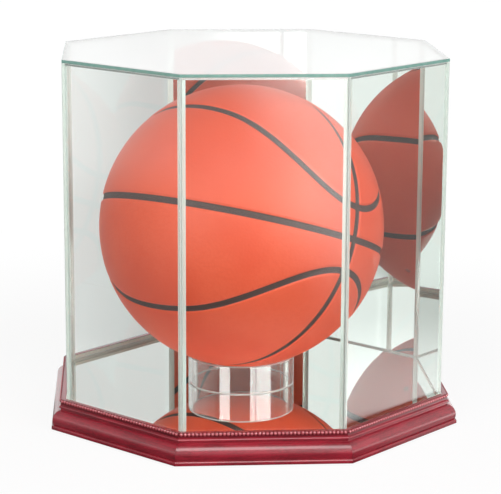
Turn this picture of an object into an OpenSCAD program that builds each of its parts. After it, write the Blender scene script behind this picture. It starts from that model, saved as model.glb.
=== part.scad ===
// Octagonal glass display case for one ball, with the ball in it.
// A lift-off glass cover with three mirrored back panels stands on a mirrored floor,
// which lies in a mitred and beaded wooden base. A clear ring stand carries the ball.
// Millimetres. +Z is up, the front is -Y, and the origin is the middle of the underside.

/* [Glass cover] */
// Across the flats of the glass cover, outside
glass_af = 309; // [296:1:360]
// Thickness of the wall panels, clear and mirrored
glass_t = 3; // [2:0.5:5]
// Free height between the ball and the top glass
head_room = 27.4; // [14:0.2:80]
// Thickness of the top glass
top_t = 2.5; // [2:0.5:6]
// Ground chamfer along the edges of all the glass
arris = 0.35; // [0.1:0.05:0.6]

/* [Clear seals] */
// Gap between two wall panels at a corner
seam_gap = 0.6; // [0.3:0.1:1.2]
// How far the seal stays inside the outer corner
seam_recess = 0.5; // [0.3:0.1:1]
// Leg of the clear fillet inside each corner
seal_leg = 3; // [2:0.5:5]
// Depth of the hollow in the face of that fillet
seal_hollow = 0.3; // [0.1:0.05:0.35]
// Leg of the bead under the top glass
top_seal_leg = 2; // [1:0.5:4]

/* [Base moulding] */
// Gap between the glass cover and the rebate around it
cover_fit = 0.6; // [0.4:0.1:1.5]
// Width of the lip outside the rebate, as far as the middle of the pearls
lip_w = 4.2; // [3.5:0.1:7]
// Height of the lip that carries the pearls
lip_h = 4; // [3.6:0.1:6]
// Radius of one pearl
pearl_r = 1.5; // [1:0.1:1.7]
// Distance from one pearl to the next
pearl_pitch = 3.05; // [3.05:0.05:5]
// Radius of the thin bead below the lip
fillet_r = 1.2; // [0.8:0.1:1.4]
// How far the thin bead stands out past the pearls' middle line
fillet_out = 0.4; // [0.2:0.1:1]
// Height of the groove between the lip and the thin bead
quirk_h = 1; // [0.5:0.1:2]
// Radius of the wide cushion moulding
cushion_r = 8.4; // [7:0.1:9.5]
// How far the cushion stands out of the rebate wall
cushion_out = 11.5; // [10:0.1:14]
// How far the foot of the base stands out of the rebate wall
foot_out = 12.2; // [11:0.1:15]
// Height of the foot
foot_h = 3.2; // [2:0.1:5]
// Chamfer on top of the foot
foot_chamfer = 0.8; // [0.3:0.1:1.5]
// Width of the ledge under the base board
ledge_w = 15; // [8:1:24]
// Thickness of that ledge
ledge_t = 5; // [4:0.5:8]

/* [Floor] */
// Thickness of the base board
board_t = 11.5; // [9:0.5:16]
// Gap around the base board and the floor mirror
board_fit = 0.3; // [0.2:0.1:0.8]
// Thickness of the floor mirror
floor_t = 3; // [2:0.5:5]
// Height of the lip above the floor mirror
lip_rise = 5; // [3:0.5:9]
// Thickness of the soft tape that the cover stands on
tape_t = 1; // [0.5:0.1:2]
// Width of that tape
tape_w = 3.8; // [3:0.1:5]

/* [Fixings under the base] */
// Length of each leg of the V nails across the mitres
nail_leg = 6; // [4:0.5:8]
// Thickness of a V nail
nail_t = 0.5; // [0.3:0.1:0.8]
// Height of a V nail
nail_h = 3.5; // [2:0.5:3.5]
// Diameter of the felt feet
felt_d = 16; // [10:1:20]
// Thickness of the felt feet
felt_t = 1; // [0.8:0.1:3]

/* [Ring stand] */
// Outer diameter of the clear ring
ring_d = 90; // [70:1:120]
// Wall of the clear ring
ring_wall = 3; // [2:0.5:5]
// Height of the clear ring
ring_h = 24; // [22:1:32]
// Chamfer on the inner rim where the ball sits
ring_seat = 0.5; // [0.3:0.1:1.2]
// Polished chamfer on the other rims
ring_edge = 0.4; // [0.2:0.1:0.8]
// Place of the ring on the floor, to the right of the middle
ring_x = -5.9; // [-10:0.1:10]
// Place of the ring on the floor, behind the middle
ring_y = -5.1; // [-10:0.1:10]

/* [Ball] */
// Diameter of the ball
ball_d = 237; // [200:1:244]
// Thickness of the cover panels
panel_t = 1.4; // [0.8:0.1:2.5]
// Thickness of the carcass under the panels
carcass_t = 2; // [1.5:0.5:6]
// Width of the channels between the panels
channel_w = 4; // [2:0.5:7]
// Lean of the ball about X
ball_lean_x = -20; // [-180:0.1:180]
// Lean of the ball about Y
ball_lean_y = -2.5; // [-180:0.1:180]
// Turn of the ball on its ring
ball_turn = 0.9; // [-180:0.1:180]
// Diameter of the valve plug
valve_d = 7; // [5:0.5:10]
// Diameter of the needle hole in the valve
needle_d = 1.6; // [1:0.1:2.4]
// Length of the valve plug, in from the surface
valve_l = 16; // [10:1:24]

/* [Running gaps] */
// Gap under the cover and under the ring
seat_gap = 0.1; // [0.05:0.05:0.3]
// Gap between the ball and its ring
ball_gap = 0.2; // [0.1:0.05:0.3]
// Gap around a nail or a plug in its slot
plug_fit = 0.05; // [0.02:0.01:0.15]

/* [Hidden] */
NODES = [
  "rail_front", "rail_front_right", "rail_right", "rail_back_right",
  "rail_back", "rail_back_left", "rail_left", "rail_front_left",
  "mitre_nails", "felt_feet", "base_board", "floor_mirror", "cover_tape",
  "glass_front", "glass_front_right", "glass_right", "mirror_back_right",
  "mirror_back", "mirror_back_left", "glass_left", "glass_front_left",
  "corner_seal_1", "corner_seal_2", "corner_seal_3", "corner_seal_4",
  "corner_seal_5", "corner_seal_6", "corner_seal_7", "corner_seal_8",
  "top_seal", "top_glass", "ring_stand",
  "ball_carcass", "ball_valve",
  "ball_end_panel_1", "ball_end_panel_2", "ball_end_panel_3", "ball_end_panel_4",
  "ball_side_panel_1", "ball_side_panel_2", "ball_side_panel_3", "ball_side_panel_4",
];

$fn = 96;
RAILS = [for (i = [0:7]) NODES[i]];
WALLS = [for (i = [13:20]) NODES[i]];
SEALS = [for (i = [21:28]) NODES[i]];
END_PANELS = [for (i = [34:37]) NODES[i]];
SIDE_PANELS = [for (i = [38:41]) NODES[i]];

// Shape of an octagon: half its corner angle, and half its side over its half width
half_turn = 360 / 16;
side_slope = tan(half_turn);

// Half widths across the flats
glass_a = glass_af / 2;
glass_in_a = glass_a - glass_t;
rebate_a = glass_a + cover_fit;
foot_a = rebate_a + foot_out;
ledge_a = rebate_a - ledge_w;
board_af = 2 * (rebate_a - board_fit);
reach = 2 * foot_a;

// Heights
rail_z = felt_t;
board_z = rail_z + ledge_t;
floor_z = board_z + board_t;
floor_top = floor_z + floor_t;
lip_top = floor_top + lip_rise;
rail_h = lip_top - rail_z;
cover_z = floor_top + tape_t + seat_gap;
ring_z = floor_top + seat_gap;

// Heights on the moulding, above its underside
pearl_v = rail_h - lip_h / 2;
fillet_v = rail_h - lip_h - quirk_h - fillet_r;
cushion_v = foot_h + cushion_r / 2;
fillet_u = lip_w + fillet_out;

// The ball on the rim of its ring
ball_r = ball_d / 2;
carcass_r = ball_r - panel_t;
ring_in_r = ring_d / 2 - ring_wall;
rim_r = ring_in_r + ring_seat;
ball_z = ring_z + ring_h + sqrt(pow(ball_r + ball_gap, 2) - pow(rim_r, 2));
wall_h = ball_z + ball_r + head_room - cover_z;

// Oval seams: their angle from the pole of the ball, round the pole
oval_mid = 58.5;
oval_long = 15.9;
oval_square = 2.7;
oval_steps = 60;
channel_angle = channel_w / ball_r * 90 / PI;
valve_angle = 20;

wood = [0.48, 0.09, 0.16];
clear = [0.80, 0.92, 0.88, 0.35];
silver = [0.80, 0.84, 0.84];
orange = [0.86, 0.36, 0.25];

// ---- shared shapes ----

// One eighth of the plan, from the middle to beyond the front side
module eighth() {
  linear_extrude(height = 4 * reach, center = true)
    polygon([[0, 0], [-reach * side_slope, -reach], [reach * side_slope, -reach]]);
}

// A profile of (out, up) points run along the front side, a given distance out
module run_front(out) {
  translate([0, -out, 0])
    rotate([90, 0, -90])
      linear_extrude(height = 2 * reach, center = true) children();
}

module octagon(af) {
  rotate(half_turn) circle(d = af / cos(half_turn), $fn = 8);
}

// A long bar of chamfered cross-section; four of them cut an octagonal plate
module plate_bar(af, t, edge) {
  rotate([90, 0, -90])
    linear_extrude(height = 2 * af, center = true)
      polygon([[-af / 2, edge], [edge - af / 2, 0], [af / 2 - edge, 0], [af / 2, edge],
               [af / 2, t - edge], [af / 2 - edge, t], [edge - af / 2, t], [-af / 2, t - edge]]);
}

module octagon_plate(af, t, edge) {
  intersection() {
    plate_bar(af, t, edge);
    rotate([0, 0, 45]) plate_bar(af, t, edge);
    rotate([0, 0, 90]) plate_bar(af, t, edge);
    rotate([0, 0, 135]) plate_bar(af, t, edge);
  }
}

// ---- base ----

// Cross-section of the moulding, outwards from the rebate wall and up from its underside
module moulding_profile() {
  polygon([[-ledge_w, 0], [foot_out, 0], [foot_out, foot_h - foot_chamfer],
           [foot_out - foot_chamfer, foot_h], [fillet_u, foot_h], [fillet_u, fillet_v],
           [lip_w, fillet_v], [lip_w, rail_h], [0, rail_h], [0, ledge_t], [-ledge_w, ledge_t]]);
  intersection() {
    translate([cushion_out - cushion_r, cushion_v]) circle(r = cushion_r);
    translate([0, foot_h]) square([foot_out, rail_h]);
  }
  translate([fillet_u, fillet_v]) circle(r = fillet_r);
}

module pearls() {
  pearl_a = rebate_a + lip_w;
  half_count = floor((pearl_a * side_slope - pearl_r) / pearl_pitch);
  for (i = [-half_count:half_count])
    translate([i * pearl_pitch, -pearl_a, rail_z + pearl_v]) sphere(r = pearl_r, $fn = 32);
}

// V nail with its point on a mitre, here the mitre along -Y
module v_nail(grow) {
  translate([0, -(ledge_a + foot_a) / 2 / cos(half_turn), rail_z])
    for (side = [0, 1])
      mirror([side, 0, 0])
        rotate([0, 0, 45])
          translate([-nail_t / 2 - grow, 0, -grow])
            cube([nail_t + 2 * grow, nail_leg + grow, nail_h + 2 * grow]);
}

module rail(side) {
  color(wood)
    rotate([0, 0, 45 * side])
      difference() {
        intersection() {
          union() {
            translate([0, 0, rail_z]) run_front(rebate_a) moulding_profile();
            pearls();
          }
          eighth();
        }
        for (end = [-1, 1]) rotate([0, 0, end * half_turn]) v_nail(plug_fit);
      }
}

module mitre_nails() {
  color("silver")
    for (i = [0:7]) rotate([0, 0, 45 * i + half_turn]) v_nail(0);
}

module felt_feet() {
  color([0.16, 0.13, 0.12])
    for (i = [0:3])
      rotate([0, 0, 90 * i + 45])
        translate([0, -(ledge_a + foot_a) / 2, 0]) cylinder(d = felt_d, h = felt_t);
}

module base_board() {
  color([0.62, 0.48, 0.34])
    translate([0, 0, board_z]) linear_extrude(height = board_t) octagon(board_af);
}

module floor_mirror() {
  color(silver) translate([0, 0, floor_z]) octagon_plate(board_af, floor_t, arris);
}

module cover_tape() {
  color([0.90, 0.86, 0.74])
    translate([0, 0, floor_top])
      linear_extrude(height = tape_t)
        difference() {
          octagon(glass_af);
          octagon(glass_af - 2 * tape_w);
        }
}

// ---- glass cover ----

// Plan of one wall panel with mitred ends and chamfered edges
module wall_plan() {
  end_cut = seam_gap / 2 / cos(half_turn);
  out_x = glass_a * side_slope - end_cut;
  in_x = glass_in_a * side_slope - end_cut;
  side_x = arris * sin(half_turn);
  side_y = arris * cos(half_turn);
  half = [[out_x - arris, -glass_a], [out_x - side_x, side_y - glass_a],
          [in_x + side_x, -glass_in_a - side_y], [in_x - arris, -glass_in_a]];
  polygon(concat(half, [for (i = [3:-1:0]) [-half[i][0], half[i][1]]]));
}

module wall(side, tint) {
  color(tint)
    rotate([0, 0, 45 * side])
      translate([0, 0, cover_z])
        intersection() {
          linear_extrude(height = wall_h) wall_plan();
          run_front(glass_a)
            polygon([[-arris, 0], [0, arris], [0, wall_h - arris], [-arris, wall_h],
                     [arris - glass_t, wall_h], [-glass_t, wall_h - arris],
                     [-glass_t, arris], [arris - glass_t, 0]]);
        }
}

// Clear seal in one corner: a thin web between the panels and a hollow fillet inside
module corner_seal(i) {
  out_r = glass_a / cos(half_turn) - seam_recess;
  in_r = glass_in_a / cos(half_turn);
  leg_x = seal_leg * cos(half_turn);
  leg_y = seal_leg * sin(half_turn) - in_r;
  hollow_x = leg_x - seal_hollow;
  hollow_r = (pow(hollow_x, 2) + pow(seal_hollow, 2)) / (2 * seal_hollow);
  color(clear)
    rotate([0, 0, 45 * i + half_turn])
      translate([0, 0, cover_z]) {
        linear_extrude(height = wall_h)
          translate([-seam_gap / 2, -out_r]) square([seam_gap, out_r - in_r]);
        linear_extrude(height = wall_h - top_seal_leg) {
          translate([-seam_gap / 2, -out_r]) square([seam_gap, out_r - in_r + seam_gap / 2]);
          difference() {
            polygon([[0, -in_r], [leg_x, leg_y], [-leg_x, leg_y]]);
            translate([0, leg_y + hollow_r - seal_hollow]) circle(r = hollow_r);
          }
        }
      }
}

module top_seal() {
  color(clear)
    for (side = [0:7])
      rotate([0, 0, 45 * side])
        intersection() {
          translate([0, 0, cover_z + wall_h])
            run_front(glass_in_a)
              polygon([[0, 0], [-top_seal_leg, 0], [0, -top_seal_leg]]);
          eighth();
        }
}

module top_glass() {
  color(clear) translate([0, 0, cover_z + wall_h]) octagon_plate(glass_af, top_t, arris);
}

// ---- ring stand ----

module ring_stand() {
  out_r = ring_d / 2;
  color(clear)
    translate([ring_x, ring_y, ring_z])
      rotate_extrude($fn = 128)
        polygon([[ring_in_r + ring_edge, 0], [out_r - ring_edge, 0], [out_r, ring_edge],
                 [out_r, ring_h - ring_edge], [out_r - ring_edge, ring_h], [rim_r, ring_h],
                 [ring_in_r, ring_h - ring_seat], [ring_in_r, ring_edge]]);
}

// ---- ball ----

module at_ball() {
  translate([ring_x, ring_y, ball_z]) rotate([ball_lean_x, ball_lean_y, ball_turn]) children();
}

function oval_angle(turn) =
  oval_mid + oval_long * cos(2 * turn) + oval_square * cos(4 * turn);

// Cone from the middle of the ball through an oval seam, widened by an angle
module oval_cone(widen) {
  far = 2 * ball_r;
  rim = [for (i = [0:oval_steps - 1])
    let (turn = 360 * i / oval_steps, lean = oval_angle(turn) + widen)
      far * [sin(lean) * cos(turn), sin(lean) * sin(turn), cos(lean)]];
  sides = [for (i = [0:oval_steps - 1]) [0, 1 + i, 1 + (i + 1) % oval_steps]];
  cap = [for (i = [0:oval_steps - 1]) [oval_steps + 1, 1 + (i + 1) % oval_steps, 1 + i]];
  polyhedron(points = concat([[0, 0, 0]], rim, [[0, 0, far]]), faces = concat(sides, cap));
}

module valve_bore() {
  rotate([-90 - valve_angle, 0, 0])
    translate([0, 0, carcass_r - valve_l]) cylinder(d = valve_d + 2 * plug_fit, h = 2 * valve_l);
}

// The quarter of the cover skin with positive Y and Z, short of the straight channels
module skin_quarter() {
  intersection() {
    difference() {
      sphere(r = ball_r);
      sphere(r = carcass_r);
    }
    translate([-ball_d, channel_w / 2, channel_w / 2]) cube(2 * ball_d);
  }
}

// Panels 1 to 4 go round the four quarters of the ball
module in_quarter(i) {
  mirror([0, i % 2, 0]) mirror([0, 0, floor(i / 2)]) children();
}

module ball_end_panel(i) {
  color(orange)
    at_ball()
      in_quarter(i)
        intersection() {
          skin_quarter();
          oval_cone(-channel_angle);
        }
}

module ball_side_panel(i) {
  color(orange)
    at_ball()
      difference() {
        in_quarter(i)
          difference() {
            skin_quarter();
            oval_cone(channel_angle);
          }
        if (i == 2) valve_bore();
      }
}

module ball_carcass() {
  color([0.13, 0.11, 0.11])
    at_ball()
      difference() {
        sphere(r = carcass_r);
        sphere(r = carcass_r - carcass_t);
        valve_bore();
      }
}

module ball_valve() {
  color([0.10, 0.10, 0.10])
    at_ball()
      intersection() {
        sphere(r = ball_r - panel_t / 4);
        rotate([-90 - valve_angle, 0, 0])
          translate([0, 0, ball_r - valve_l])
            difference() {
              cylinder(d = valve_d, h = 2 * valve_l);
              cylinder(d = needle_d, h = 6 * valve_l, center = true);
            }
      }
}

for (i = [0:7]) rail(i);
mitre_nails();
felt_feet();
base_board();
floor_mirror();
cover_tape();
for (i = [0:7]) wall(i, i >= 3 && i <= 5 ? silver : clear);
for (i = [0:7]) corner_seal(i);
top_seal();
top_glass();
ring_stand();
ball_carcass();
ball_valve();
for (i = [0:3]) ball_end_panel(i);
for (i = [0:3]) ball_side_panel(i);
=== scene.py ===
import math

import bmesh
import bpy
import numpy as np
from mathutils import Euler, Matrix, Vector


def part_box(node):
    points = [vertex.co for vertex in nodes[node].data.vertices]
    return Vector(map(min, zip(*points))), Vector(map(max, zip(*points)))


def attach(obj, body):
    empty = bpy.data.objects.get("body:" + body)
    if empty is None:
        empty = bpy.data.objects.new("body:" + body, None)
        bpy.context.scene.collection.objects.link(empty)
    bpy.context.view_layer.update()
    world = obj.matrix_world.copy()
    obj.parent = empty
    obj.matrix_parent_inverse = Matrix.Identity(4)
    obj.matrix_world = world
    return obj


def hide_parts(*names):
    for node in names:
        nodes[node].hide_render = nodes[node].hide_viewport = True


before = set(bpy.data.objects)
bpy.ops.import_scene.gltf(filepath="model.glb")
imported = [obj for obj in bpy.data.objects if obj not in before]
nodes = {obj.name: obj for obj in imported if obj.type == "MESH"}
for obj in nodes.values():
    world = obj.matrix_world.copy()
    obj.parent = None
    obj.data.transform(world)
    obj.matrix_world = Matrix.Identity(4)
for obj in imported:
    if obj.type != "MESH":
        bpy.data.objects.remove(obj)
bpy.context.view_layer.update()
mm = 0.001
sides = ["front", "front_right", "right", "back_right", "back", "back_left", "left", "front_left"]
halfTurn = math.pi / 8
print("frame loaded:", len(nodes), "nodes")


# nodes and sums

class Sum:
    # a socket that can be added, multiplied and compared; each operator adds one Math node
    def __init__(self, tree, socket):
        self.tree = tree
        self.socket = socket

    def math(self, operation, *values):
        return self.tree.add("ShaderNodeMath", {"operation": operation}, [self, *values])

    def __add__(self, other):
        return self.math("ADD", other)

    def __sub__(self, other):
        return self.math("SUBTRACT", other)

    def __rsub__(self, other):
        return self.tree.add("ShaderNodeMath", {"operation": "SUBTRACT"}, [other, self])

    def __mul__(self, other):
        return self.math("MULTIPLY", other)

    def __truediv__(self, other):
        return self.math("DIVIDE", other)

    def __rtruediv__(self, other):
        return self.tree.add("ShaderNodeMath", {"operation": "DIVIDE"}, [other, self])

    def __gt__(self, other):
        return self.math("GREATER_THAN", other)

    def __lt__(self, other):
        return self.math("LESS_THAN", other)

    __radd__ = __add__
    __rmul__ = __mul__

    def abs(self):
        return self.math("ABSOLUTE")

    def min(self, other):
        return self.math("MINIMUM", other)

    def max(self, other):
        return self.math("MAXIMUM", other)

    def cos(self):
        return self.math("COSINE")

    def step(self, low, high):
        # rises smoothly from 0 at low to 1 at high
        return self.tree.add("ShaderNodeMapRange", {"interpolation_type": "SMOOTHSTEP"},
                             {"Value": self, "From Min": low, "From Max": high})


class Tree:
    def __init__(self, tree):
        self.tree = tree
        tree.nodes.clear()

    def link(self, value, socket):
        if isinstance(value, Sum):
            self.tree.links.new(value.socket, socket)
        elif isinstance(value, bpy.types.NodeSocket):
            self.tree.links.new(value, socket)
        else:
            socket.default_value = value

    def node(self, kind, settings=None, inputs=None):
        made = self.tree.nodes.new(kind)
        for name, value in (settings or {}).items():
            setattr(made, name, value)
        pairs = enumerate(inputs) if isinstance(inputs, list) else (inputs or {}).items()
        for name, value in pairs:
            self.link(value, made.inputs[name])
        return made

    def add(self, kind, settings=None, inputs=None, output=0):
        return Sum(self, self.node(kind, settings, inputs).outputs[output])

    def mixColour(self, factor, first, second):
        made = self.node("ShaderNodeMix", {"data_type": "RGBA"},
                         {"Factor": factor, 6: opaque(first), 7: opaque(second)})
        return made.outputs[2]

    def mixShader(self, factor, first, second):
        return self.add("ShaderNodeMixShader", None, [factor, first, second])

    def axes(self, vector):
        split = self.node("ShaderNodeSeparateXYZ", None, {"Vector": vector})
        return [Sum(self, split.outputs[i]) for i in range(3)]


def opaque(colour):
    return (*colour, 1) if isinstance(colour, tuple) and len(colour) == 3 else colour


def material(name):
    made = bpy.data.materials.new(name)
    made.use_nodes = True
    return made, Tree(made.node_tree)


def surface(tree, shader):
    tree.node("ShaderNodeOutputMaterial", None, {"Surface": shader})


def principled(tree, **inputs):
    named = {key: opaque(value) for key, value in inputs.items()}
    words = {"colour": "Base Color", "roughness": "Roughness", "metallic": "Metallic", "ior": "IOR",
             "transmission": "Transmission Weight", "coat": "Coat Weight",
             "coatRoughness": "Coat Roughness", "coatIor": "Coat IOR", "normal": "Normal",
             "sheen": "Sheen Weight", "specular": "Specular IOR Level"}
    return tree.add("ShaderNodeBsdfPrincipled", None,
                    {words[key]: value for key, value in named.items()})


def bump(tree, height, strength, distance):
    return tree.add("ShaderNodeBump", None,
                    {"Strength": strength, "Distance": distance, "Height": height})


# meshes

def meshObject(name, points, faces, smoothAngle=None, uvs=None):
    mesh = bpy.data.meshes.new(name)
    mesh.from_pydata([tuple(p) for p in points], [], [tuple(f) for f in faces])
    if uvs is not None:
        layer = mesh.uv_layers.new(name="UVMap")
        for loop in mesh.loops:
            layer.data[loop.index].uv = uvs[loop.vertex_index]
    mesh.update()
    if smoothAngle is not None:
        mesh.shade_smooth()
        mesh.set_sharp_from_angle(angle=math.radians(smoothAngle))
    made = bpy.data.objects.new(name, mesh)
    bpy.context.scene.collection.objects.link(made)
    return made


def turnFacesOut(mesh):
    work = bmesh.new()
    work.from_mesh(mesh)
    bmesh.ops.recalc_face_normals(work, faces=work.faces)
    work.to_mesh(mesh)
    work.free()


def paint(thing, look):
    thing.data.materials.clear()
    thing.data.materials.append(look)


# camera, lamps and floor

camera = {"azimuth": 41.15, "pitch": 12.62, "roll": 0.28, "place": (1.0525, -1.2046, 0.495),
          "focalPixels": 1942.2, "frameWidth": 501, "sensor": 36.0, "farClip": 50}


def placeCamera(c):
    turn, dip, roll = (math.radians(c[key]) for key in ("azimuth", "pitch", "roll"))
    ahead = Vector((-math.sin(turn) * math.cos(dip), math.cos(turn) * math.cos(dip),
                    -math.sin(dip)))
    level = Vector((math.cos(turn), math.sin(turn), 0))
    upright = level.cross(ahead)
    right = math.cos(roll) * level + math.sin(roll) * upright
    up = math.cos(roll) * upright - math.sin(roll) * level
    lens = bpy.data.cameras.new("camera")
    lens.sensor_width = c["sensor"]
    lens.lens = c["sensor"] * c["focalPixels"] / c["frameWidth"]
    lens.clip_end = c["farClip"]
    made = bpy.data.objects.new("camera", lens)
    turned = Matrix((right, up, -ahead)).transposed().to_4x4()
    made.matrix_world = Matrix.Translation(c["place"]) @ turned
    bpy.context.scene.collection.objects.link(made)
    bpy.context.scene.camera = made


def around(azimuth, elevation, distance):
    a, e = math.radians(azimuth), math.radians(elevation)
    return distance * Vector((math.sin(a) * math.cos(e), -math.cos(a) * math.cos(e), math.sin(e)))


# angles in degrees, sizes and distance in metres
lampDistance = 2.2
lampTarget = Vector((0, 0, 0.15))
lamps = {
    "softboxRight": {"azimuth": 86, "elevation": 20, "size": (1.96, 0.95), "watts": 30},
    "softboxLeft": {"azimuth": 5, "elevation": 20, "size": (0.90, 0.95), "watts": 12},
    "overhead": {"azimuth": 43, "elevation": 56, "size": (1.2, 1.3), "watts": 20},
}


def placeLamp(name, lamp):
    light = bpy.data.lights.new(name, "AREA")
    light.shape = "RECTANGLE"
    light.size, light.size_y = lamp["size"]
    light.energy = lamp["watts"]
    made = bpy.data.objects.new(name, light)
    made.location = lampTarget + around(lamp["azimuth"], lamp["elevation"], lampDistance)
    made.rotation_euler = (lampTarget - made.location).to_track_quat("-Z", "Y").to_euler()
    bpy.context.scene.collection.objects.link(made)


# strengths, azimuths and elevations in degrees, and edges from -1 to 1 on a direction
studio = {"camera": 1.0, "fill": 0.31, "fillAbove": 0.20, "fillRise": (0.2, 0.9),
          "air": {"front": 0.38, "back": 0.88, "frontLeft": 0.76, "above": 0.25, "backGlow": 0.45},
          "backAzimuth": 221, "backEdge": (-0.2, 0.3), "glowEdge": (0.3, 0.8),
          "glowFade": (0.14, 0.23), "leftAzimuth": -36, "leftEdge": (0.92, 0.985),
          "bandRise": (0.16, 0.21), "bandFade": (0.32, 0.40), "aboveRise": (0.50, 0.72),
          "cards": [{"azimuth": 5, "half": 11.5, "strength": 7.0},
                    {"azimuth": 86, "half": 24, "strength": 7.0}],
          "cardLow": 9, "cardLowSoft": 1, "cardHigh": 32, "cardHighSoft": 2,
          "mirrorBounces": 10}


def towards(x, y, azimuth):
    # how far a direction points to one side, counted as the views count their azimuth
    a = math.radians(azimuth)
    return x * math.sin(a) - y * math.cos(a)


def heights(middle, soft):
    # the heights of two directions, a little under and a little over an elevation
    return [math.sin(math.radians(middle + d)) for d in (-soft, soft)]


def paintWorld(w):
    # white for the camera; glass and mirrors see a room that is brighter on some sides
    made = bpy.data.worlds.new("studio")
    made.use_nodes = True
    bpy.context.scene.world = made
    tree = Tree(made.node_tree)
    path = tree.node("ShaderNodeLightPath")
    isCamera = Sum(tree, path.outputs["Is Camera Ray"])
    isGlossy = Sum(tree, path.outputs["Is Glossy Ray"])
    isSeen = isGlossy.max(Sum(tree, path.outputs["Is Transmission Ray"]))
    x, y, z = tree.axes(tree.node("ShaderNodeTexCoord").outputs["Generated"])
    flat = (x * x + y * y).math("SQRT").max(0.001)
    air = w["air"]
    band = z.step(*w["bandRise"]) * (1 - z.step(*w["bandFade"]))
    back = towards(x, y, w["backAzimuth"]) / flat
    left = towards(x, y, w["leftAzimuth"]) / flat
    seen = air["front"] + (air["back"] - air["front"]) * back.step(*w["backEdge"])
    seen = seen + air["frontLeft"] * band * left.step(*w["leftEdge"])
    seen = seen + air["backGlow"] * (1 - z.step(*w["glowFade"])) * back.step(*w["glowEdge"])
    seen = seen + (air["above"] - seen) * z.step(*w["aboveRise"])
    high = z.step(*heights(w["cardLow"], w["cardLowSoft"]))
    high = high * (1 - z.step(*heights(w["cardHigh"], w["cardHighSoft"])))
    for card in w["cards"]:
        edge = [math.cos(math.radians(card["half"] + d)) for d in (1, -1)]
        seen = seen + card["strength"] * high * (towards(x, y, card["azimuth"]) / flat).step(*edge)
    rest = (1 - isCamera - isSeen).max(0)
    fill = w["fill"] + (w["fillAbove"] - w["fill"]) * z.step(*w["fillRise"])
    strength = w["camera"] * isCamera + seen * isSeen + fill * rest
    light = tree.add("ShaderNodeBackground", None, {"Color": (1, 1, 1, 1), "Strength": strength})
    tree.node("ShaderNodeOutputWorld", None, {"Surface": light})


# strengths, and edges: in metres, or from -1 to 1 where a direction is held to an azimuth
floor = {"radius": 9.0, "corners": 64, "grey": (0.85, 0.85, 0.85), "tint": (0.985, 1.0, 0.985),
         "shade": 0.12, "shadeEdge": (0.25, 0.75), "whole": 1.01,
         "front": (0.06, 0.75), "frontEdge": (0.65, 1.5), "frontAzimuth": 32,
         "frontSide": (0.42, 0.80), "frontGlow": 2.4, "glowEdge": (0.35, 1.0),
         "glowSide": (0.08, 0.30), "left": (1.10, 0.25), "nearAzimuth": -28,
         "nearSide": (0.80, 0.95), "nearEdge": (1.0, 1.5), "leftBack": (0.90, 0.60),
         "dimSide": (-0.30, -0.05), "backSide": (-0.12, 0.08), "right": 0.50,
         "rightSide": (-0.2, 0.3), "beside": 2.2, "besideEdge": (0.26, 0.55),
         "besideSide": (-0.12, 0.0), "besideRise": (0.195, 0.23),
         "diffuse": (0.40, 0.72), "diffuseEdge": (0.2, 0.7)}


def between(pair, mask):
    # the first of two strengths where the mask is 0, the second where it is 1
    return pair[0] + (pair[1] - pair[0]) * mask


def layFloor(f):
    edge = [(f["radius"] * math.cos(a), f["radius"] * math.sin(a), 0)
            for a in np.linspace(0, 2 * math.pi, f["corners"], endpoint=False)]
    made = meshObject("studioFloor", edge, [range(f["corners"])])
    look, tree = material("paleFloor")
    path = tree.node("ShaderNodeLightPath")
    x, y = tree.axes(tree.node("ShaderNodeTexCoord").outputs["Object"])[:2]
    away = (x * x + y * y).math("SQRT").max(0.001)
    shade = (1 - away.step(*f["shadeEdge"])) * f["shade"]
    lit = tree.add("ShaderNodeBsdfDiffuse", None, {"Color": opaque(f["grey"])})
    white = tree.add("ShaderNodeEmission", None, {"Color": (1, 1, 1, 1), "Strength": f["whole"]})
    toCamera = tree.mixShader(shade, white, lit)
    # what glass and mirrors see of the table: dark near the front, brighter further off
    near = (towards(x, y, f["nearAzimuth"]) / away).step(*f["nearSide"])
    near = near * (1 - away.step(*f["nearEdge"]))
    leftFront = between(f["left"], near)
    leftBack = between(f["leftBack"], (x + y).step(*f["dimSide"]))
    leftLevel = between((leftFront, leftBack), y.step(*f["backSide"]))
    # a patch of table beside the case at the back right glows brightly, seen only by glass and
    # mirrors
    beside = f["beside"] * (1 - away.step(*f["besideEdge"])) * y.step(*f["besideSide"])
    beside = beside * away.step(*f["besideRise"])
    backLevel = between((leftLevel, f["right"] + beside), (x / away).step(*f["rightSide"]))
    frontLevel = between(f["front"], away.step(*f["frontEdge"]))
    glow = away.step(*f["glowEdge"]) * (x + y).step(*f["glowSide"])
    frontLevel = frontLevel + f["frontGlow"] * glow
    toFront = (towards(x, y, f["frontAzimuth"]) / away).step(*f["frontSide"])
    level = between((backLevel, frontLevel), toFront)
    isDiffuse = Sum(tree, path.outputs["Is Diffuse Ray"])
    plain = between(f["diffuse"], away.step(*f["diffuseEdge"]))
    level = between((level, plain), isDiffuse)
    toMirrors = tree.add("ShaderNodeEmission", None,
                         {"Color": opaque(f["tint"]), "Strength": level})
    surface(tree, tree.mixShader(path.outputs["Is Camera Ray"], toMirrors, toCamera))
    paint(made, look)


placeCamera(camera)
for lampName, lampValues in lamps.items():
    placeLamp(lampName, lampValues)
paintWorld(studio)
layFloor(floor)
view = bpy.context.scene.view_settings
view.view_transform = "Standard"
# the mirrors face each other, so a reflection is followed further than usual
bpy.context.scene.cycles.glossy_bounces = studio["mirrorBounces"]
print("camera, lamps and floor placed")


# finishes of the case

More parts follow.
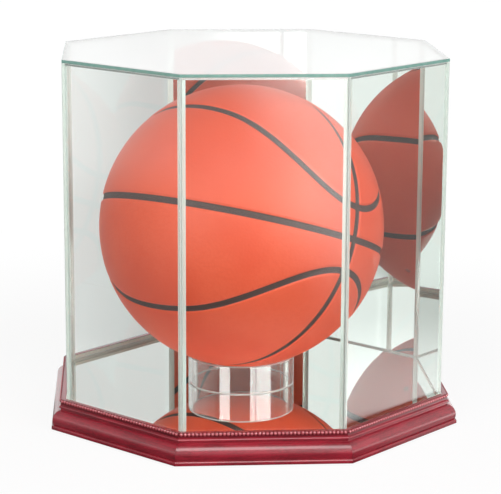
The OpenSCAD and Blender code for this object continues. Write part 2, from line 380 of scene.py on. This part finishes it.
case = {"glassOut": 154.5 * mm, "glassThick": 3 * mm, "edgeSkin": 0.05 * mm,
        "glass": (0.975, 0.99, 0.982), "glassIor": 1.5, "rimRoughness": 0.28,
        "rimClear": 0.25, "rimCloud": 240.0, "film": (0.93, 0.93, 0.93), "filmShare": 0.48,
        "glassShadow": (0.96, 0.98, 0.97), "sealShadow": (0.85, 0.93, 0.88), "sealIor": 1.41,
        "silver": (0.86, 0.90, 0.875), "mirrorRim": (0.74, 0.78, 0.75),
        "backDark": (0.175, 0.19, 0.20), "backLight": (0.27, 0.285, 0.295),
        "speck": (0.38, 0.395, 0.40), "lean": (-0.033, 0.0, 0.010)}


def apothem(tree, point):
    # how far out a point lies, measured across the flats of the octagon
    x, y, z = tree.axes(point)
    slanting = (x.abs() + y.abs()) * math.sqrt(0.5)
    return x.abs().max(y.abs()).max(slanting), z


def letLightThrough(tree, shader, tint):
    # lamps shine straight through the clear pieces, a little tinted
    path = tree.node("ShaderNodeLightPath")
    skip = Sum(tree, path.outputs["Is Shadow Ray"]).max(Sum(tree, path.outputs["Is Diffuse Ray"]))
    clear = tree.add("ShaderNodeBsdfTransparent", None, {"Color": opaque(tint)})
    return tree.mixShader(skip, shader, clear)


def glassFinish(name, inner, outer, rimDark, rimLight):
    # clear float glass: colourless through its faces, tinted where its ground edge shows
    look, tree = material(name)
    point = tree.node("ShaderNodeTexCoord").outputs["Object"]
    out, z = apothem(tree, point)
    depth = z if name == "topGlass" else out
    skin = case["edgeSkin"]
    edge = (depth > inner + skin) * (depth < outer - skin)
    pane = principled(tree, colour=case["glass"], roughness=0.0, ior=case["glassIor"],
                      transmission=1.0)
    cloud = tree.add("ShaderNodeTexNoise", None,
                     {"Vector": point, "Scale": case["rimCloud"], "Detail": 2.0})
    rim = principled(tree, colour=tree.mixColour(cloud, rimDark, rimLight), ior=case["glassIor"],
                     roughness=case["rimRoughness"], transmission=case["rimClear"])
    if name == "topGlass":
        # a lying pane gathers a thin film that shows only at a low angle
        film = principled(tree, colour=case["film"], roughness=0.9)
        slant = tree.add("ShaderNodeLayerWeight", None, {"Blend": 0.5}, 1)
        hazy = (z > outer - skin) * slant.step(0.5, 0.9) * case["filmShare"]
        pane = tree.mixShader(hazy, pane, film)
    surface(tree, letLightThrough(tree, tree.mixShader(edge, pane, rim), case["glassShadow"]))
    return look


def mirrorFinish(name, inner, outer, flat, lean=None):
    # silvered glass: bright towards the inside, ground edge, grey paint on the back
    look, tree = material(name)
    point = tree.node("ShaderNodeTexCoord").outputs["Object"]
    out, z = apothem(tree, point)
    depth = z if flat else out
    skin = case["edgeSkin"]
    isFace = (depth > outer - skin) if flat else (depth < inner + skin)
    isBack = (depth < inner + skin) if flat else (depth > outer - skin)
    haze = tree.add("ShaderNodeTexNoise", None, {"Vector": point, "Scale": 9.0, "Detail": 3.0})
    silver = {"colour": case["silver"], "metallic": 1.0,
              "roughness": haze.step(0.35, 0.9) * 0.025}
    if lean:
        # this pane stands a little out of true, so what it mirrors is shifted
        straight = tree.node("ShaderNodeNewGeometry").outputs["Normal"]
        bent = tree.add("ShaderNodeVectorMath", {"operation": "ADD"}, [straight, lean])
        silver["normal"] = tree.add("ShaderNodeVectorMath", {"operation": "NORMALIZE"}, [bent])
    silver = principled(tree, **silver)
    speck = tree.add("ShaderNodeTexNoise", None, {"Vector": point, "Scale": 900.0, "Detail": 2.0})
    # the paint is poured on as a curtain, so its clouds are drawn out from top to bottom
    drawn = tree.add("ShaderNodeMapping", None, {"Vector": point, "Scale": (5.0, 5.0, 0.5)})
    curtain = tree.add("ShaderNodeTexNoise", None,
                       {"Vector": drawn, "Scale": 9.0, "Detail": 5.0, "Roughness": 0.6})
    grey = tree.mixColour(curtain.step(0.3, 0.7), case["backDark"], case["backLight"])
    grey = tree.mixColour(speck.step(0.60, 0.70) * 0.5, grey, case["speck"])
    backPaint = principled(tree, colour=grey, roughness=0.34 + curtain * 0.22,
                           normal=bump(tree, curtain * 0.6 + speck * 0.4, 0.35, 0.2 * mm))
    rim = principled(tree, colour=case["mirrorRim"], roughness=0.3, ior=case["glassIor"])
    surface(tree, tree.mixShader(isFace, tree.mixShader(isBack, rim, backPaint), silver))
    return look


def sealFinish(name, colour, roughness, transmission):
    # clear silicone with a slightly rippled face
    look, tree = material(name)
    point = tree.node("ShaderNodeTexCoord").outputs["Object"]
    ripple = tree.add("ShaderNodeTexNoise", None, {"Vector": point, "Scale": 120.0, "Detail": 2.0})
    body = principled(tree, colour=colour, roughness=roughness, ior=case["sealIor"],
                      transmission=transmission, normal=bump(tree, ripple, 0.3, 0.3 * mm))
    surface(tree, letLightThrough(tree, body, case["sealShadow"]))
    return look


glassIn = case["glassOut"] - case["glassThick"]
topLow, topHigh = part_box("top_glass")
floorLow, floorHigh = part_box("floor_mirror")
wallGlass = glassFinish("wallGlass", glassIn, case["glassOut"],
                        (0.50, 0.55, 0.51), (0.69, 0.72, 0.69))
topGlass = glassFinish("topGlass", topLow.z, topHigh.z, (0.10, 0.28, 0.235), (0.24, 0.46, 0.40))
wallMirror = mirrorFinish("wallMirror", glassIn, case["glassOut"], False)
backMirror = mirrorFinish("backMirror", glassIn, case["glassOut"], False, case["lean"])
floorMirror = mirrorFinish("floorMirror", floorLow.z, floorHigh.z, True)
clearSeal = sealFinish("clearSeal", (0.90, 0.94, 0.91), 0.22, 0.55)
topSeal = sealFinish("topSeal", (0.95, 0.97, 0.96), 0.10, 0.92)
for side in sides:
    if "glass_" + side in nodes:
        paint(nodes["glass_" + side], wallGlass)
    else:
        paint(nodes["mirror_" + side], backMirror if side == "back" else wallMirror)
paint(nodes["top_glass"], topGlass)
paint(nodes["floor_mirror"], floorMirror)
for i in range(len(sides)):
    paint(nodes[f"corner_seal_{i + 1}"], clearSeal)
paint(nodes["top_seal"], topSeal)
print("glass, mirrors and seals finished")


# small parts of the base

def plainFinish(name, light, dark, scale, roughness, depth, **extra):
    # a slightly clouded, finely rough finish for the parts out of sight
    look, tree = material(name)
    point = tree.node("ShaderNodeTexCoord").outputs["Object"]
    grain = tree.add("ShaderNodeTexNoise", None, {"Vector": point, "Scale": scale, "Detail": 4.0})
    colour = tree.mixColour(grain.step(0.3, 0.7), dark, light)
    surface(tree, principled(tree, colour=colour, roughness=roughness,
                             normal=bump(tree, grain, 0.5, depth), **extra))
    return look


fibreboard = plainFinish("fibreboard", (0.50, 0.37, 0.24), (0.40, 0.28, 0.17), 700.0, 0.8,
                         0.2 * mm)
felt = plainFinish("felt", (0.05, 0.045, 0.045), (0.02, 0.02, 0.02), 1500.0, 0.95, 0.4 * mm,
                   sheen=0.4)
nailSteel = plainFinish("nailSteel", (0.66, 0.66, 0.67), (0.50, 0.50, 0.52), 400.0, 0.3,
                        0.05 * mm, metallic=1.0)
seatTape = plainFinish("seatTape", (0.56, 0.58, 0.53), (0.44, 0.46, 0.42), 900.0, 0.7, 0.1 * mm)
paint(nodes["base_board"], fibreboard)
paint(nodes["felt_feet"], felt)
paint(nodes["mitre_nails"], nailSteel)
paint(nodes["cover_tape"], seatTape)
print("small parts finished")


# moulding

moulding = {"rebate": 155.1 * mm, "low": 1.0 * mm, "high": 25.5 * mm, "ledgeWidth": 15 * mm,
            "ledge": 5 * mm, "footOut": 12.2 * mm, "footHeight": 3.2 * mm, "footChamfer": 0.8 * mm,
            "cushionRadius": 8.4 * mm, "cushionOut": 11.5 * mm, "cushionSteps": 26,
            "lip": 4.2 * mm, "lipHeight": 4 * mm, "filletRadius": 1.2 * mm, "filletOut": 0.4 * mm,
            "filletSteps": 14, "quirk": 1.0 * mm, "soft": 0.3 * mm, "mitreGap": 0.04 * mm,
            "pearlRadius": 1.5 * mm, "pearlRise": 0.6 * mm, "pearlPitch": 3.05 * mm,
            "grainShift": 0.7, "sharpAngle": 35}


def softCorner(before, corner, after, radius, steps=4):
    # rounds one corner of an outline with a short curve
    one, two = (before - corner), (after - corner)
    cut = min(radius, 0.45 * one.length, 0.45 * two.length)
    start, end = corner + one.normalized() * cut, corner + two.normalized() * cut
    curve = []
    for i in range(steps + 1):
        t = i / steps
        curve.append((1 - t) ** 2 * start + 2 * t * (1 - t) * corner + t * t * end)
    return curve


def arc(centre, radius, low, high, steps):
    # a round part of an outline, from one angle to another
    return [Vector((centre[0] + radius * math.cos(a), centre[1] + radius * math.sin(a)))
            for a in np.linspace(low, high, steps + 1)]


def mouldingOutline(m):
    # the rail cut across: ledge, foot, cushion, thin bead, groove and lip, round to the rebate
    height = m["high"] - m["low"]
    cushionAt = (m["cushionOut"] - m["cushionRadius"], m["footHeight"] + m["cushionRadius"] / 2)
    filletAt = (m["lip"] + m["filletOut"], height - m["lipHeight"] - m["quirk"] - m["filletRadius"])
    cushionTop = math.acos((filletAt[0] - cushionAt[0]) / m["cushionRadius"])
    filletTop = math.acos(-m["filletOut"] / m["filletRadius"])
    chamferLow, chamferIn = m["footHeight"] - m["footChamfer"], m["footOut"] - m["footChamfer"]
    foot = [Vector(p) for p in ((-m["ledgeWidth"], m["ledge"]), (-m["ledgeWidth"], 0),
                                (m["footOut"], 0), (m["footOut"], chamferLow),
                                (chamferIn, m["footHeight"]))]
    cushion = arc(cushionAt, m["cushionRadius"], -math.pi / 6, cushionTop, m["cushionSteps"])
    fillet = arc(filletAt, m["filletRadius"], -math.pi / 2, filletTop, m["filletSteps"])
    lip = [Vector(p) for p in ((m["lip"], height), (0, height), (0, m["ledge"]))]
    outline = [foot[0]]
    for i in (1, 2, 3, 4):
        after = foot[i + 1] if i < 4 else cushion[0]
        outline += softCorner(foot[i - 1], foot[i], after, m["soft"])
    outline += cushion + fillet
    outline += softCorner(fillet[-1], lip[0], lip[1], m["soft"])
    outline += softCorner(lip[0], lip[1], lip[2], m["soft"])
    outline.append(lip[2])
    return outline


def sweepRail(m, outline, turn, name):
    # the outline run between two mitres, with the grain's map along its length
    spin = Matrix.Rotation(turn, 3, "Z")
    points, uvs, faces = [], [], []
    count = len(outline)
    walked = 0
    for i, (out, up) in enumerate(outline):
        walked += (outline[i] - outline[i - 1]).length if i else 0
        for end in (-1, 1):
            away = m["rebate"] + out
            x = end * (away * math.tan(halfTurn) - m["mitreGap"])
            points.append(spin @ Vector((x, -away, m["low"] + up)))
            uvs.append((x + m["grainShift"] * turn, walked))
    for i in range(count):
        j = (i + 1) % count
        faces.append((2 * i, 2 * i + 1, 2 * j + 1, 2 * j))
    faces.append([2 * i for i in range(count)])
    faces.append([2 * i + 1 for i in reversed(range(count))])
    made = meshObject(name, points, faces, uvs=uvs)
    turnFacesOut(made.data)
    made.data.shade_smooth()
    made.data.set_sharp_from_angle(angle=math.radians(m["sharpAngle"]))
    return made


def pearlTree(finish):
    # sets a row of pearls along the lip and joins it to the rail
    tree = bpy.data.node_groups.new("pearlRow", "GeometryNodeTree")
    tree.interface.new_socket("Geometry", in_out="INPUT", socket_type="NodeSocketGeometry")
    for name, kind in (("Start", "NodeSocketVector"), ("Step", "NodeSocketVector"),
                       ("Count", "NodeSocketInt"), ("Radius", "NodeSocketFloat")):
        tree.interface.new_socket(name, in_out="INPUT", socket_type=kind)
    tree.interface.new_socket("Geometry", in_out="OUTPUT", socket_type="NodeSocketGeometry")
    work = Tree(tree)
    given = work.node("NodeGroupInput").outputs
    row = work.node("GeometryNodeMeshLine", None,
                    {"Count": given["Count"], "Start Location": given["Start"],
                     "Offset": given["Step"]})
    bead = work.node("GeometryNodeMeshIcoSphere", None,
                     {"Radius": given["Radius"], "Subdivisions": 3})
    smooth = work.node("GeometryNodeSetShadeSmooth", None, {"Geometry": bead.outputs["Mesh"]})
    pearls = work.node("GeometryNodeInstanceOnPoints", None,
                       {"Points": row.outputs["Mesh"], "Instance": smooth.outputs["Geometry"]})
    both = work.node("GeometryNodeJoinGeometry")
    work.link(given["Geometry"], both.inputs[0])
    work.link(pearls.outputs["Instances"], both.inputs[0])
    real = work.node("GeometryNodeRealizeInstances", None, {"Geometry": both.outputs["Geometry"]})
    painted = work.node("GeometryNodeSetMaterial", None,
                        {"Geometry": real.outputs["Geometry"], "Material": finish})
    work.node("NodeGroupOutput", None, {"Geometry": painted.outputs["Geometry"]})
    return tree


def grown(thing, tree, values):
    # runs a Geometry Nodes tree on a piece and keeps the plain mesh that comes out
    run = thing.modifiers.new("build", "NODES")
    run.node_group = tree
    for socket in tree.interface.items_tree:
        if socket.in_out == "INPUT" and socket.name in values:
            run[socket.identifier] = values[socket.name]
    view = bpy.context.evaluated_depsgraph_get()
    plain = bpy.data.meshes.new_from_object(thing.evaluated_get(view), depsgraph=view)
    thing.modifiers.clear()
    thing.data = plain
    return thing


wood = {"light": (0.34, 0.008, 0.025), "dark": (0.18, 0.004, 0.013), "paintedShade": (0.07, 0.002, 0.005),
        "wearAndHighlight": (0.62, 0.13, 0.15), "wearAndHighlightIn": 159.9 * mm, "wearAndHighlightOut": 160.7 * mm,
        "grooveLow": 21.3 * mm, "grooveLowSoft": 0.4 * mm, "grooveStart": 158.9 * mm,
        "grooveStartSoft": 0.2 * mm, "grooveIn": 159.35 * mm, "grooveOut": 159.6 * mm,
        "streak": 550.0, "cloud": 82.5, "fleck": 880.0, "pores": 3600.0,
        "drawnOut": (0.07, 1.0, 1.0), "lessDrawnOut": (0.35, 1.0, 1.0),
        "specular": 0.25, "coatIor": 1.7, "coatRoughness": 0.23}


def cherryFinish(w):
    # red-stained cherry under gloss lacquer; the grain runs along the length of each rail
    look, tree = material("cherryWood")
    along = tree.node("ShaderNodeUVMap", {"uv_map": "UVMap"}).outputs["UV"]
    stretched = tree.add("ShaderNodeMapping", None, {"Vector": along, "Scale": w["drawnOut"]})
    blotched = tree.add("ShaderNodeMapping", None, {"Vector": along, "Scale": w["lessDrawnOut"]})
    streak = tree.add("ShaderNodeTexNoise", None,
                      {"Vector": stretched, "Scale": w["streak"], "Detail": 5.0,
                       "Roughness": 0.6, "Distortion": 0.4})
    cloud = tree.add("ShaderNodeTexNoise", None,
                     {"Vector": blotched, "Scale": w["cloud"], "Detail": 3.0})
    fleck = tree.add("ShaderNodeTexNoise", None,
                     {"Vector": blotched, "Scale": w["fleck"], "Detail": 2.0})
    pores = tree.add("ShaderNodeTexNoise", None,
                     {"Vector": stretched, "Scale": w["pores"], "Detail": 1.0})
    figure = streak * 0.35 + cloud * 0.40 + fleck * 0.25
    colour = tree.mixColour(figure.step(0.38, 0.62), w["dark"], w["light"])
    colour = tree.mixColour(pores.step(0.60, 0.72) * 0.35, colour, w["dark"])
    # painted shade: the groove behind the row of pearls is darkened and given less coat, standing
    # in for the shadow between the pearls
    away, height = apothem(tree, tree.node("ShaderNodeTexCoord").outputs["Object"])
    raised = height.step(w["grooveLow"] - w["grooveLowSoft"], w["grooveLow"])
    grooveShade = raised * (1 - away.step(w["grooveIn"], w["grooveOut"]))
    grooveShade = grooveShade * away.step(w["grooveStart"] - w["grooveStartSoft"], w["grooveStart"])
    colour = tree.mixColour(grooveShade * 0.6, colour, w["paintedShade"])
    # the fronts of the pearls are paler: partly stain rubbed thin, partly a painted highlight
    wearAndHighlight = raised * away.step(w["wearAndHighlightIn"], w["wearAndHighlightOut"])
    colour = tree.mixColour(wearAndHighlight * 0.75, colour, w["wearAndHighlight"])
    surface(tree, principled(tree, colour=colour, roughness=0.36 + figure * 0.12, ior=1.5,
                             specular=w["specular"], coat=1.0 - grooveShade * 0.5,
                             coatIor=w["coatIor"], coatRoughness=w["coatRoughness"],
                             normal=bump(tree, streak, 0.08, 0.2 * mm)))
    return look


cherryWood = cherryFinish(wood)
outline = mouldingOutline(moulding)
rowTree = pearlTree(cherryWood)
for k, side in enumerate(sides):
    turn = 2 * halfTurn * k
    rail = sweepRail(moulding, outline, turn, "moulding_" + side)
    paint(rail, cherryWood)
    spin = Matrix.Rotation(turn, 3, "Z")
    away = moulding["rebate"] + moulding["lip"]
    room = away * math.tan(halfTurn) - moulding["pearlRadius"]
    half = math.floor(room / moulding["pearlPitch"])
    height = moulding["high"] - moulding["lipHeight"] / 2 + moulding["pearlRise"]
    start = spin @ Vector((-half * moulding["pearlPitch"], -away, height))
    step = spin @ Vector((moulding["pearlPitch"], 0, 0))
    grown(rail, rowTree, {"Start": start, "Step": step, "Count": 2 * half + 1,
                          "Radius": moulding["pearlRadius"]})
    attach(rail, "base")
    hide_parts("rail_" + side)


lining = {"inner": 154.7 * mm, "outer": 155.05 * mm, "low": 20.7 * mm, "high": 25.2 * mm,
          "stripLow": 22.7 * mm, "stripHigh": 25.2 * mm, "edge": 0.5 * mm,
          "creamDark": (0.97, 0.96, 0.88), "creamLight": (0.99, 0.98, 0.92),
          "edgeColour": (0.42, 0.40, 0.28), "below": (0.88, 0.92, 0.89)}


def lineRebate(l):
    # a cream strip on the wall of the rebate, all the way round
    points, faces = [], []
    for k in range(len(sides)):
        spin = Matrix.Rotation(2 * halfTurn * k + halfTurn, 3, "Z")
        for away, height in ((l["inner"], l["low"]), (l["outer"], l["low"]),
                             (l["outer"], l["high"]), (l["inner"], l["high"])):
            points.append(spin @ Vector((0, -away / math.cos(halfTurn), height)))
    for k in range(len(sides)):
        here, there = 4 * k, 4 * (k + 1) % len(points)
        for i in range(4):
            j = (i + 1) % 4
            faces.append((here + i, here + j, there + j, there + i))
    return meshObject("rebate_lining", points, faces)


def liningFinish(l):
    # a satin cream strip with slightly darker edges, greyer where it meets the floor mirror
    look, tree = material("rebateLining")
    point = tree.node("ShaderNodeTexCoord").outputs["Object"]
    z = tree.axes(point)[2]
    mottle = tree.add("ShaderNodeTexNoise", None, {"Vector": point, "Scale": 220.0, "Detail": 3.0})
    pale = tree.mixColour(mottle, l["creamDark"], l["creamLight"])
    middle, half = (l["stripLow"] + l["stripHigh"]) / 2, (l["stripHigh"] - l["stripLow"]) / 2
    fromMiddle = (z - middle).abs()
    edge = (fromMiddle > half - l["edge"]) * (fromMiddle < half)
    colour = tree.mixColour(edge * 0.2, pale, l["edgeColour"])
    colour = tree.mixColour(z < l["stripLow"], colour, l["below"])
    surface(tree, principled(tree, colour=colour, roughness=0.4 + mottle * 0.2, ior=1.45))
    return look


strip = lineRebate(lining)
turnFacesOut(strip.data)
paint(strip, liningFinish(lining))
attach(strip, "base")
print("moulding finished")


# ring stand

ring = {"clear": (0.985, 0.99, 0.99), "bloom": (0.93, 0.92, 0.91), "ior": 1.49,
        "shadow": (0.97, 0.98, 0.98), "sawnLow": 0.5 * mm, "sawnHigh": 0.7 * mm,
        "least": 0.03, "slanted": 0.20, "sawn": 0.5}


def acrylicFinish(r):
    # clear acrylic with a faint bloom, frosted where the tube is sawn off
    look, tree = material("clearAcrylic")
    body = principled(tree, colour=r["clear"], roughness=0.0, ior=r["ior"], transmission=1.0)
    bloom = principled(tree, colour=r["bloom"], roughness=0.5)
    slant = tree.add("ShaderNodeLayerWeight", None, {"Blend": 0.5}, 1)
    z = tree.axes(tree.node("ShaderNodeTexCoord").outputs["Object"])[2]
    low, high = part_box("ring_stand")
    rim = (z < low.z + r["sawnLow"]).max(z > high.z - r["sawnHigh"])
    frosted = (r["least"] + slant.step(0.1, 0.9) * r["slanted"]).max(rim * r["sawn"])
    surface(tree, letLightThrough(tree, tree.mixShader(frosted, body, bloom), r["shadow"]))
    return look


paint(nodes["ring_stand"], acrylicFinish(ring))
print("ring stand finished")


# ball

# the channels' middle lines are two great circles and an oval round each pole; the ovals and
# the lean are in degrees
ball = {"radius": 118.5 * mm, "lean": (-20.0, -2.5, 0.9), "channel": 5.3 * mm, "depth": 1.2 * mm,
        "shoulder": 1.6 * mm, "ovalMid": 58.5, "ovalLong": 15.9, "ovalSquare": 2.7, "grid": 150,
        "leastSine": 0.2, "valve": (0.0, 0.9397, -0.3420), "valveRadius": 2.2 * mm,
        "valveDepth": 0.6 * mm, "valveSoft": 0.9 * mm}
carcassLow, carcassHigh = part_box("ball_carcass")
ballCentre = (carcassLow + carcassHigh) / 2
ballTurn = Euler([math.radians(a) for a in ball["lean"]], "XYZ").to_matrix()


def seamDistance(b, way):
    # how far each direction from the ball's middle lies from the nearest channel's middle line
    x, y, z = way[:, 0], way[:, 1], way[:, 2]
    pole = np.arccos(np.clip(np.abs(z), 0, 1))
    turn = np.arctan2(y, x)
    oval = np.radians(b["ovalMid"] + b["ovalLong"] * np.cos(2 * turn)
                      + b["ovalSquare"] * np.cos(4 * turn))
    slope = -np.radians(2 * b["ovalLong"] * np.sin(2 * turn)
                        + 4 * b["ovalSquare"] * np.sin(4 * turn))
    slant = np.sqrt(1 + (slope / np.maximum(np.sin(pole), b["leastSine"])) ** 2)
    near = np.minimum(np.arcsin(np.abs(z)), np.arcsin(np.clip(np.abs(y), 0, 1)))
    return b["radius"] * np.minimum(near, np.abs(pole - oval) / slant)


def ballHalf(b, top):
    # half of a cube blown up into a sphere, with the channels pressed in
    n = b["grid"]
    steps = np.tan(np.linspace(-math.pi / 4, math.pi / 4, n + 1))
    numbers, order, faces = {}, [], []

    def corner(side, i, j):
        p, q = steps[i], steps[j]
        spot = [(1, p, q), (-1, q, p), (q, 1, p), (p, -1, q), (p, q, 1), (q, p, -1)][side]
        key = tuple(round(v * 1e6) for v in spot)
        if key not in numbers:
            numbers[key] = len(order)
            order.append(spot)
        return numbers[key]

    for side in range(6):
        for i in range(n):
            for j in range(n):
                alongI, alongJ = steps[i] + steps[i + 1], steps[j] + steps[j + 1]
                rise = [alongJ, alongI, alongI, alongJ, 1, -1][side]
                if (rise > 0) == top:
                    faces.append([corner(side, i, j), corner(side, i + 1, j),
                                  corner(side, i + 1, j + 1), corner(side, i, j + 1)])
    way = np.array(order, float)
    way /= np.linalg.norm(way, axis=1)[:, None]
    away = seamDistance(b, way)
    t = np.clip((away - b["channel"] / 2 + b["shoulder"] / 4) / b["shoulder"], 0, 1)
    radius = b["radius"] - b["depth"] * (1 - t * t * (3 - 2 * t))
    fromValve = b["radius"] * np.arccos(np.clip(way @ np.array(b["valve"]), -1, 1))
    dent = (b["valveRadius"] + b["valveSoft"] - fromValve) / b["valveSoft"]
    radius = radius - b["valveDepth"] * np.clip(dent, 0, 1)
    spots = (way * radius[:, None]) @ np.array(ballTurn).T + np.array(ballCentre)
    return meshObject("ball_upper" if top else "ball_lower", spots, faces, 180)


ballLook = {"orange": (0.88, 0.118, 0.050), "deep": (0.82, 0.088, 0.032),
            "black": (0.070, 0.042, 0.037), "pebble": 2.1 * mm, "edgeIn": 0.2 * mm,
            "edgeOut": 0.3 * mm, "cloud": 14.0, "relief": 0.25 * mm,
            "coverRoughness": 0.50, "channelRoughness": 0.62}


def ballFinish(b, c):
    # pebbled orange cover and black channels, whose place is worked out as seamDistance does
    look, tree = material("ballCover")
    point = tree.node("ShaderNodeTexCoord").outputs["Object"]
    local = tree.add("ShaderNodeVectorMath", {"operation": "SUBTRACT"}, [point, tuple(ballCentre)])
    turned = tree.add("ShaderNodeVectorRotate", {"rotation_type": "EULER_XYZ", "invert": True},
                      {"Vector": local, "Rotation": tuple(ballTurn.to_euler())})
    way = tree.add("ShaderNodeVectorMath", {"operation": "NORMALIZE"}, [turned])
    x, y, z = tree.axes(way)
    pole = z.abs().min(1).math("ARCCOSINE")
    turn = y.math("ARCTAN2", x)
    oval = (math.radians(b["ovalMid"]) + math.radians(b["ovalLong"]) * (turn * 2).cos()
            + math.radians(b["ovalSquare"]) * (turn * 4).cos())
    slope = ((turn * 2).math("SINE") * (2 * math.radians(b["ovalLong"]))
             + (turn * 4).math("SINE") * (4 * math.radians(b["ovalSquare"])))
    slope = slope / pole.math("SINE").max(b["leastSine"])
    slant = (slope * slope + 1).math("SQRT")
    near = z.abs().math("ARCSINE").min(y.abs().math("ARCSINE")).min((pole - oval).abs() / slant)
    away = near * b["radius"]
    cover = away.step(b["channel"] / 2 - c["edgeIn"], b["channel"] / 2 + c["edgeOut"])
    pebble = tree.add("ShaderNodeTexVoronoi", {"feature": "SMOOTH_F1"},
                      {"Vector": point, "Scale": 1 / c["pebble"], "Smoothness": 0.5})
    cloud = tree.add("ShaderNodeTexNoise", None,
                     {"Vector": point, "Scale": c["cloud"], "Detail": 3.0})
    skin = tree.mixColour(cloud.step(0.35, 0.7), c["orange"], c["deep"])
    # painted shade: the hollows between the pebbles are painted a deeper orange
    skin = tree.mixColour(pebble.step(0.30, 0.75) * 0.35, skin, c["deep"])
    colour = tree.mixColour(cover, c["black"], skin)
    height = (1 - pebble) * cover
    smoother = cover * (c["channelRoughness"] - c["coverRoughness"])
    surface(tree, principled(tree, colour=colour, roughness=c["channelRoughness"] - smoother,
                             ior=1.45, normal=bump(tree, height, 0.35, c["relief"])))
    return look


ballCover = ballFinish(ball, ballLook)
skinNodes = {True: ["ball_end_panel_1", "ball_end_panel_2",
                    "ball_side_panel_1", "ball_side_panel_2"],
             False: ["ball_end_panel_3", "ball_end_panel_4",
                     "ball_side_panel_3", "ball_side_panel_4", "ball_carcass"]}
for top in (True, False):
    half = ballHalf(ball, top)
    paint(half, ballCover)
    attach(half, "ball")
    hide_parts(*skinNodes[top])
valveRubber = plainFinish("valveRubber", (0.50, 0.085, 0.045), (0.36, 0.06, 0.03), 600.0, 0.5,
                          0.1 * mm)
paint(nodes["ball_valve"], valveRubber)
print("ball finished")
